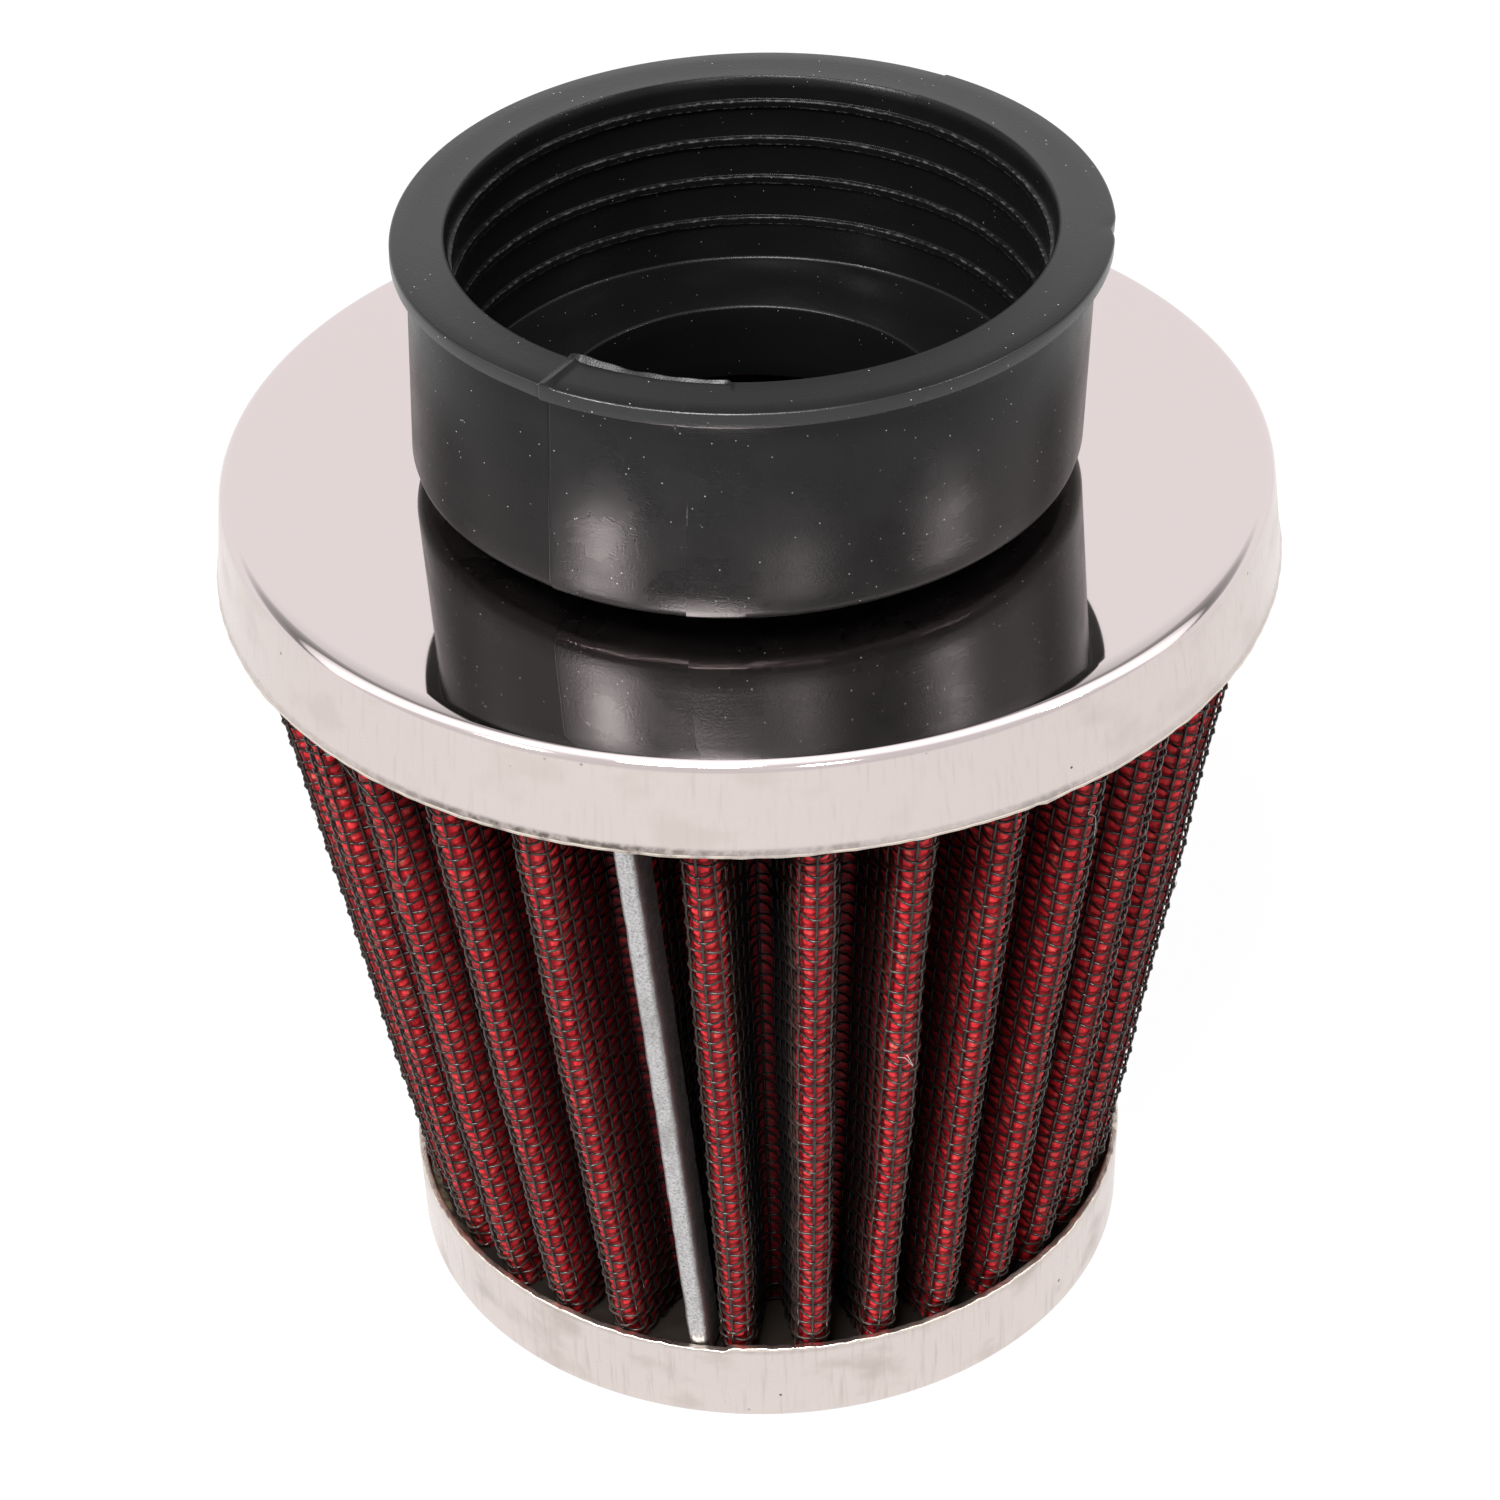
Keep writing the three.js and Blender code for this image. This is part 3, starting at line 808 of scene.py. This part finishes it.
def base_cap(material):
    corners = [
        (BASE_LIP_R + 0.09, BASE_LIP, 0.1),
        (BASE_LIP_R + 0.05, BASE_LIP + 0.3, 0.12),
        (BASE_LIP_R - 0.07, BASE_LIP + 0.75, 0.3),
        (BASE_CORNER_R, BASE_TOP, BASE_ROUND),
        (BASE_HOLE_R, BASE_TOP, 0.1),
        (BASE_HOLE_R, BASE_TOP - CAP_SHEET, 0.1),
        (BASE_CORNER_R - CAP_SHEET, BASE_TOP - CAP_SHEET, BASE_ROUND - CAP_SHEET),
        (BASE_LIP_R - CAP_SHEET + 0.1, BASE_LIP, 0.1),
    ]
    outline = divided(rounded(corners, 6), 1.2)
    azimuths = np.arange(-180, 180, 0.6)
    above = outline[:, 1] - BASE_LIP
    near_lip = np.clip(1 - above / 0.6, 0, 1)
    skirt_part = np.clip(1 - above / 7, 0, 1)
    burr = ripple(azimuths, 2, (3, 11, 29, 53, 97, 160), 0.12)
    nicks = -0.2 * bump_at(azimuths, 30, 1.0) + 0.12 * bump_at(azimuths, 29, 0.7)
    nicks = nicks - 0.12 * bump_at(azimuths, -63, 2)
    radii = outline[:, 0] + ripple(azimuths, 3, (2, 3, 4), 0.1)[:, None] * skirt_part
    radii = radii + ripple(azimuths, 9, (31, 61, 120), 0.05)[:, None] * near_lip
    heights = outline[:, 1] + (burr + nicks)[:, None] * near_lip
    skirt = np.clip((BASE_TOP - 0.3 - outline[:, 1]) / 0.5, 0, 1)
    edge = np.clip(1 - above / 1.6, 0, 1)
    stain = 0.18 + bump_at(azimuths, -21, 19) + 0.35 * bump_at(azimuths, 31, 6)
    stain = stain + 0.3 * bump_at(azimuths, 8, 4)
    values = cap_values(outline, azimuths, skirt, edge, np.clip(stain, 0, 1))
    cap = turned_piece("base_cap_shell", azimuths, radii, heights, material, "bright_steel", values)
    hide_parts("base_cap")


def end_cap(material):
    corners = [
        (0.02, 0, 0),
        (END_CORNER_R, 0, END_ROUND),
        (END_LIP_R - 0.02, END_LIP - 0.5, 0.3),
        (END_LIP_R + 0.04, END_LIP, 0.12),
        (END_LIP_R - CAP_SHEET + 0.05, END_LIP, 0.12),
        (END_CORNER_R - CAP_SHEET, CAP_SHEET, END_ROUND - CAP_SHEET),
        (0.02, CAP_SHEET, 0),
    ]
    outline = divided(rounded(corners, 6), 1.2)
    azimuths = np.arange(-180, 180, 0.6)
    below = END_LIP - outline[:, 1]
    near_lip = np.clip(1 - below / 0.6, 0, 1)
    skirt_part = np.clip(1 - below / 7, 0, 1) * (outline[:, 0] > 20)
    burr = ripple(azimuths, 12, (2, 7, 23, 47, 90, 151), 0.2)
    step = 0.3 / (1 + np.exp(-(azimuths + 7.5) / 0.25)) - 0.3
    dent = np.where(azimuths < 60, step, 0) * np.clip((azimuths + 45) / 30, 0, 1)
    radii = outline[:, 0] + ripple(azimuths, 13, (2, 3, 5), 0.08)[:, None] * skirt_part
    radii = radii + ripple(azimuths, 19, (37, 71, 133), 0.04)[:, None] * near_lip
    heights = outline[:, 1] + (burr + dent)[:, None] * near_lip
    skirt = (outline[:, 0] > 1.0) * 1.0
    edge = np.clip(1 - below / 1.2, 0, 1) * (outline[:, 0] > 20)
    stain = 0.3 + 0.5 * bump_at(azimuths, -15, 25) + ripple(azimuths, 16, (5, 9, 14), 0.3)
    values = cap_values(outline, azimuths, skirt, edge, np.clip(stain, 0, 1))
    cap = turned_piece("end_cap_shell", azimuths, radii, heights, material, "bright_steel", values)
    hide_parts("end_cap")


# ---- potting ----------------


def potting_ring(name, node, corners, free_height, material):
    """A cast ring whose free face, at this height, is slightly uneven."""
    outline = divided(rounded(corners, 3), 1.5)
    azimuths = np.arange(-180, 180, 1.5)
    radii = np.repeat(outline[None, :, 0], len(azimuths), 0)
    heights = np.repeat(outline[None, :, 1], len(azimuths), 0)
    free = np.abs(outline[:, 1] - free_height) < 0.4
    lumps = ripple(azimuths, 41, (3, 7, 13, 31), 0.15)[:, None] * np.sin(outline[:, 0] * 0.9)
    heights += lumps * free
    # how hidden a point is between the pleats, which the finish darkens as painted shade
    hidden = {"hidden": np.clip((outline[:, 0].max() + 0.1 - radii) / 1.6, 0, 1)}
    piece = turned_piece(name, azimuths, radii, heights, material, "potting", hidden)
    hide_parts(node)


def potting(material):
    base_top = BASE_TOP - CAP_SHEET - 0.05
    base_corners = [
        (BASE_CORNER_R - CAP_SHEET - 0.1, BASE_POTTING_BOTTOM, 0.2),
        (BASE_CORNER_R - CAP_SHEET - 0.1, base_top, 0.5),
        (BASE_POTTING_HOLE_R, base_top, 0.2),
        (BASE_POTTING_HOLE_R, BASE_POTTING_BOTTOM, 0.6),
    ]
    potting_ring("base_potting_ring", "base_potting", base_corners, BASE_POTTING_BOTTOM, material)
    end_corners = [
        (0.02, CAP_SHEET + 0.05, 0),
        (END_CORNER_R - CAP_SHEET - 0.1, CAP_SHEET + 0.05, 0.4),
        (END_CORNER_R - CAP_SHEET + 0.1, END_POTTING_TOP, 0.1),
        (0.02, END_POTTING_TOP, 0),
    ]
    potting_ring("end_potting_disc", "end_potting", end_corners, END_POTTING_TOP, material)


# ---- pleated pack ----------------


def woven(pleats, columns, rows, back, pitch, crimp, upward, sides):
    """Tubes of the wires on these rows of the weave, or on these columns. pitch is their spacing in cells."""
    points, normals, depth = pleats.surface(columns, rows)
    weave = crimp * np.cos(np.pi * (columns[None, :] + rows[:, None]) / pitch)
    offset = weave - back * pleats.pinch(columns)[None, :]
    paths = points + offset[:, :, None] * normals
    if upward:
        paths, normals, depth = paths.transpose(1, 0, 2), normals.transpose(1, 0, 2), depth.T
    # depth below the crests, which the wire's finish darkens as painted shade
    return *tubes(paths, normals, WIRE_R, sides), {"depth": np.repeat(depth.ravel(), sides)}


def woven_rows(pleats, back, pitch, crimp, per_cell, rows, sides=5):
    columns = np.linspace(0.2, pleats.columns - 0.2, (pleats.columns // pitch) * per_cell + 1)
    return woven(pleats, columns, rows, back, pitch, crimp, False, sides)


def woven_columns(pleats, back, pitch, crimp, per_cell, columns, sides=5):
    rows = np.linspace(0, pleats.rows, (pleats.rows // pitch) * per_cell + 1)
    return woven(pleats, columns, rows, back, pitch, -crimp, True, sides)


def outer_mesh(pleats, material):
    """The visible woven wire, in bands of whole rows and of whole columns."""
    rows = np.arange(0, pleats.rows + 1, dtype=float)
    columns = np.arange(1, pleats.columns, dtype=float)
    for i, band in enumerate(np.array_split(rows, 4)):
        points, faces, values = woven_rows(pleats, 0, 1, ROW_CRIMP, 3, band)
        name = f"outer_mesh_rows_{i + 1}"
        make_piece(name, points, faces, material, "coated_wire", values)
    for i, band in enumerate(np.array_split(columns, 3)):
        points, faces, values = woven_columns(pleats, 0, 1, COLUMN_CRIMP, 2, band)
        name = f"outer_mesh_columns_{i + 1}"
        make_piece(name, points, faces, material, "coated_wire", values)
    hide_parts("outer_wire_mesh")


def inner_mesh(pleats, material):
    """The coarser wire inside the pleats."""
    pitch = 2
    rows = np.arange(0, pleats.rows + 1, pitch, dtype=float)
    columns = np.arange(1, pleats.columns, pitch, dtype=float)
    points, faces, values = woven_rows(pleats, INNER_MESH_BACK, pitch, INNER_CRIMP, 4, rows, sides=4)
    piece = make_piece("inner_mesh_rows", points, faces, material, "coated_wire", values)
    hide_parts("inner_wire_mesh")
    points, faces, values = woven_columns(pleats, INNER_MESH_BACK, pitch, INNER_CRIMP, 1, columns, sides=4)
    make_piece("inner_mesh_columns", points, faces, material, "coated_wire", values)


def pillow(cells):
    """0 on the lines between cells, rising to nearly 1 across each cell."""
    return 1 - np.abs(2 * (cells % 1) - 1) ** 1.8


def gauze_sheet(name, pleats, columns, rows, back, bulge, material, node):
    points, normals, depth = pleats.surface(columns, rows)
    random = np.random.default_rng(17)
    fullness = random.uniform(0.55, 1.2, (pleats.rows + 2, pleats.columns + 2))
    full = fullness[rows.astype(int)[:, None], columns.astype(int)[None, :]]
    puff = pillow(columns)[None, :] * pillow(rows)[:, None]
    gap = GAUZE_CREST_GAP * np.clip(1 - 3 * depth, 0, 1)
    offset = bulge * puff * full - (back + gap) * pleats.pinch(columns)[None, :]
    points = points + offset[:, :, None] * normals
    faces = [grid_faces(len(rows), len(columns))]
    # depth below the crests and the grooves between pillows, which the cotton's finish darkens as painted
    # shade
    values = {"depth": depth, "groove": (1 - puff) if bulge else np.zeros_like(depth)}
    piece = make_piece(name, points.reshape(-1, 3), faces, material, "red_gauze", values)
    if node:
        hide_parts(node)


def gauze(pleats, material):
    """Four plies. The outer one bulges through the weave, and is made in three stretches."""
    fine_rows = np.linspace(0, pleats.rows, pleats.rows * 3 + 1)
    plain_rows = np.linspace(0, pleats.rows, 17)
    ends = [pleats.ends[i] for i in (0, 22, 42, 2 * FOLDS + 2)]
    for i in range(3):
        start, end = round(ends[i]), round(ends[i + 1])
        end = min(end, pleats.columns)
        columns = np.linspace(start, end, (end - start) * 3 + 1)
        name, node = f"gauze_ply_1_part_{i + 1}", "gauze_ply_1" if i == 0 else None
        gauze_sheet(name, pleats, columns, fine_rows, GAUZE_BACK, GAUZE_BULGE, material, node)
    columns = np.linspace(0, pleats.columns, pleats.columns * 3 + 1)
    for ply in (2, 3, 4):
        back = GAUZE_BACK + (ply - 1) * PLY_STEP
        name = f"gauze_ply_{ply}_strip"
        gauze_sheet(name, pleats, columns, plain_rows, back, 0, material, f"gauze_ply_{ply}")


# ---- seam clip ----------------


def seam_clip(material):
    """A folded channel, open towards the axis. Its outline is (sideways, outwards)."""
    half, mouth = CLIP_WIDTH / 2, CLIP_MOUTH / 2
    hem = 0.14
    corners = [
        (-mouth - hem, -CLIP_DEPTH, 0.08),
        (-mouth + CLIP_SHEET, -CLIP_DEPTH, 0.08),
        (-mouth + CLIP_SHEET, -CLIP_DEPTH + 0.5, 0),
        (-half + CLIP_SHEET, -CLIP_SHEET, 0.1),
        (half - CLIP_SHEET, -CLIP_SHEET, 0.1),
        (mouth - CLIP_SHEET, -CLIP_DEPTH + 0.5, 0),
        (mouth - CLIP_SHEET, -CLIP_DEPTH, 0.08),
        (mouth + hem, -CLIP_DEPTH, 0.08),
        (mouth, -CLIP_DEPTH + 0.5, 0.2),
        (half, 0, 0.5),
        (-half, 0, 0.5),
        (-mouth, -CLIP_DEPTH + 0.5, 0.2),
    ]
    outline = divided(rounded(corners, 4), 0.6)
    heights = np.linspace(PACK_BOTTOM + 0.4, PACK_TOP - 0.3, 90)
    share = (heights - PACK_BOTTOM) / (PACK_TOP - PACK_BOTTOM)
    azimuths = CLIP_AZIMUTH_BOTTOM + (CLIP_AZIMUTH_TOP - CLIP_AZIMUTH_BOTTOM) * share
    sway = ripple(heights * 4, 51, (3, 8, 17), 0.06)
    crimp = ripple(heights * 4, 52, (23, 41), 0.05)
    outward, aside = unit(azimuths), unit(azimuths + 90)
    radial = envelope(heights)[:, None] + CLIP_PROUD + outline[None, :, 1]
    lateral = outline[None, :, 0] * (1 + crimp[:, None]) + sway[:, None]
    plan = outward[:, None] * radial[:, :, None] + aside[:, None] * lateral[:, :, None]
    points = np.concatenate([plan, np.repeat(heights[:, None, None], len(outline), 1)], axis=-1)
    count = len(outline)
    # the rounded sides and the legs, which the clip's finish darkens as painted shade
    side = np.clip((np.abs(outline[:, 0]) / half - 0.72) / 0.2, 0, 1) * np.clip(1 + outline[:, 1] / 0.6, 0, 1)
    values = {"side": np.broadcast_to(side + 0.5 * (outline[:, 1] < -0.6), lateral.shape)}
    walls = grid_faces(len(heights), count, closed_columns=True)
    ends = np.stack([np.arange(count)[::-1], np.arange(count) + (len(heights) - 1) * count])
    points = points.reshape(-1, 3)
    clip = make_piece("seam_clip_channel", points, [walls, ends], material, "clip_steel", values, sharp=40)
    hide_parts("seam_clip")


def curve_through(knots, count):
    """Points of a smooth curve through these knots."""
    knots = np.asarray(knots, float)
    place = np.linspace(0, len(knots) - 1, count)
    low = np.clip(place.astype(int), 0, len(knots) - 2)
    t = (place - low)[:, None]
    padded = np.concatenate([[2 * knots[0] - knots[1]], knots, [2 * knots[-1] - knots[-2]]])
    a, b, c, d = padded[low], padded[low + 1], padded[low + 2], padded[low + 3]
    return 0.5 * (2 * b + (c - a) * t + (2 * a - 5 * b + 4 * c - d) * t**2 + (3 * b - a - 3 * c + d) * t**3)


def on_pleats(azimuth, z, proud):
    """A point this far outside the crests of the pleats."""
    return np.append(unit(azimuth) * (envelope(z) + proud), z)


def strands(paths, radius, sides=5):
    """Points and faces of thin tubes that lie round the filter."""
    normals = np.concatenate([paths[:, :, :2], np.zeros_like(paths[:, :, :1])], axis=-1)
    normals /= np.linalg.norm(normals, axis=-1, keepdims=True)
    return tubes(paths, normals, radius, sides)


def bent_wire(material):
    """A wire that has sprung out of the weave near the base cap, through (azimuth, height, proud) spots."""
    spots = [
        (-54.5, 64.0, 0.1),
        (-50.0, 62.0, 0.2),
        (-46.0, 60.3, 0.2),
        (-44.6, 57.5, 0.1),
        (-45.9, 53.6, 0.2),
        (-44.4, 53.0, 0.5),
        (-42.8, 54.6, 0.5),
    ]
    path = curve_through([on_pleats(*spot) for spot in spots], 60)[None]
    make_piece("outer_mesh_bent_wire", *strands(path, WIRE_R), material, "coated_wire")


def loose_fibres(material):
    """Short cotton hairs caught on the wire."""
    random = np.random.default_rng(23)
    paths = []
    for _ in range(FIBRES):
        azimuth, z = random.uniform(-180, 180), random.uniform(12, 62)
        start = on_pleats(azimuth, z, random.uniform(-0.6, 0.1))
        steps = random.normal(0, 0.45, (5, 3)) + random.normal(0, 0.35, 3)
        knots = start + np.concatenate([[np.zeros(3)], np.cumsum(steps, axis=0)])
        knots[:, :2] *= np.minimum(1, (envelope(z) + 0.4) / np.hypot(knots[:, 0], knots[:, 1]))[:, None]
        paths.append(curve_through(knots, 18))
    fibres = strands(np.array(paths), FIBRE_R, sides=4)
    make_piece("gauze_loose_fibres", *fibres, material, "red_gauze")


# ---- stage ----------------


def make_floor():
    """A pale floor, a hair under the filter."""
    size, down = 3000.0, -0.02
    points = [(-size, -size, down), (size, -size, down), (size, size, down), (-size, size, down)]
    mesh = make_mesh("floor", np.array(points), [np.array([[0, 1, 2, 3]])])
    finish = Finish("floor", Roughness=0.8, Specular_IOR_Level=0.0, Emission_Strength=0.97)
    finish.shader.inputs["Emission Color"].default_value = (1, 1, 1, 1)
    finish.drive("Base Color", finish.mix(finish.noise(0.02), (0.05, 0.05, 0.05), (0.06, 0.06, 0.06)))
    mesh.materials.append(finish.material)
    floor = bpy.data.objects.new("floor", mesh)
    bpy.context.scene.collection.objects.link(floor)


def make_world():
    """A white studio: bright behind and overhead, dim round the camera, and softer for diffuse light."""
    world = bpy.data.worlds.new("studio")
    bpy.context.scene.world = world
    world.use_nodes = True
    nodes, links = world.node_tree.nodes, world.node_tree.links
    background = nodes["Background"]
    split = nodes.new("ShaderNodeSeparateXYZ")
    links.new(nodes.new("ShaderNodeTexCoord").outputs["Generated"], split.inputs["Vector"])
    angle = nodes.new("ShaderNodeMath")
    angle.operation = "ARCTAN2"
    links.new(split.outputs["Z"], angle.inputs[0])
    links.new(split.outputs["Y"], angle.inputs[1])
    turn = nodes.new("ShaderNodeMath")
    turn.operation = "DIVIDE"
    turn.inputs[1].default_value = math.pi
    links.new(angle.outputs["Value"], turn.inputs[0])
    ramp = nodes.new("ShaderNodeValToRGB")
    stops = [
        (0.0, 0.62),
        (0.2, 0.62),
        (0.24, 0.3),
        (0.31, 0.15),
        (0.335, 0.6),
        (0.4, 0.95),
        (0.6, 0.95),
        (0.7, 0.5),
    ]
    set_stops(ramp.color_ramp.elements, [(place, (grey, grey, grey)) for place, grey in stops])
    links.new(turn.outputs["Value"], ramp.inputs["Fac"])
    links.new(ramp.outputs["Color"], background.inputs["Color"])
    path = nodes.new("ShaderNodeLightPath")
    strength = nodes.new("ShaderNodeMapRange")
    links.new(path.outputs["Is Diffuse Ray"], strength.inputs["Value"])
    strength.inputs["To Min"].default_value = 1.65
    strength.inputs["To Max"].default_value = 0.16
    links.new(strength.outputs["Result"], background.inputs["Strength"])


def add_light(name, azimuth, elevation, distance, size, radiance):
    """A square soft box of this radiance, facing the middle of the filter."""
    data = bpy.data.lights.new(name, "AREA")
    data.size = size
    data.energy = radiance * math.pi * size**2
    light = bpy.data.objects.new(name, data)
    a, e = math.radians(azimuth), math.radians(elevation)
    back = Vector((math.sin(a) * math.cos(e), -math.cos(a) * math.cos(e), math.sin(e)))
    target = Vector((0, 0, 0.05))
    light.location = target + back * distance
    light.rotation_euler = (-back).to_track_quat("-Z", "Y").to_euler()
    bpy.context.scene.collection.objects.link(light)


def make_lights():
    add_light("key", -18, 56, 0.75, 0.24, 52.0)
    add_light("front_left", -52, 36, 0.7, 0.10, 105.0)
    add_light("front_middle", 15, 34, 0.8, 0.10, 34.0)
    add_light("side_right", 68, 34, 0.8, 0.09, 42.0)


def make_camera():
    """The view from the front and above, a little rolled."""
    distance, elevation, roll = 0.356, math.radians(36.3), math.radians(1.97)
    target = Vector((-0.45, 0, 44.6)) * MM
    data = bpy.data.cameras.new("camera")
    data.sensor_width = 36.0
    data.lens = 108.26
    data.clip_start, data.clip_end = 0.01, 20.0
    camera = bpy.data.objects.new("camera", data)
    bpy.context.scene.collection.objects.link(camera)
    bpy.context.scene.camera = camera
    back = Vector((0, -math.cos(elevation), math.sin(elevation)))
    right = Vector((1, 0, 0))
    up = back.cross(right)
    rolled_up = up * math.cos(roll) + right * math.sin(roll)
    rolled_right = rolled_up.cross(back)
    turned = Matrix((rolled_right, rolled_up, back)).transposed()
    camera.matrix_world = Matrix.Translation(target + back * distance) @ turned.to_4x4()


# ---- assembly ----------------

bpy.context.scene.view_settings.view_transform = "Standard"
make_camera()
make_world()
make_lights()
make_floor()

pleats = Pleats()
wire, cotton, resin = wire_finish(), gauze_finish(), potting_finish()
outer_mesh(pleats, wire)
gauze(pleats, cotton)
inner_mesh(pleats, wire)
bent_wire(wire)
loose_fibres(fibre_finish())
seam_clip(clip_finish())
potting(resin)
rubber_neck(rubber_finish())
base_cap(steel_finish("bright_steel_base", 0.2, 0.95, 0.3))
end_cap(steel_finish("bright_steel_end", 0.24, 0.4, 0.65))
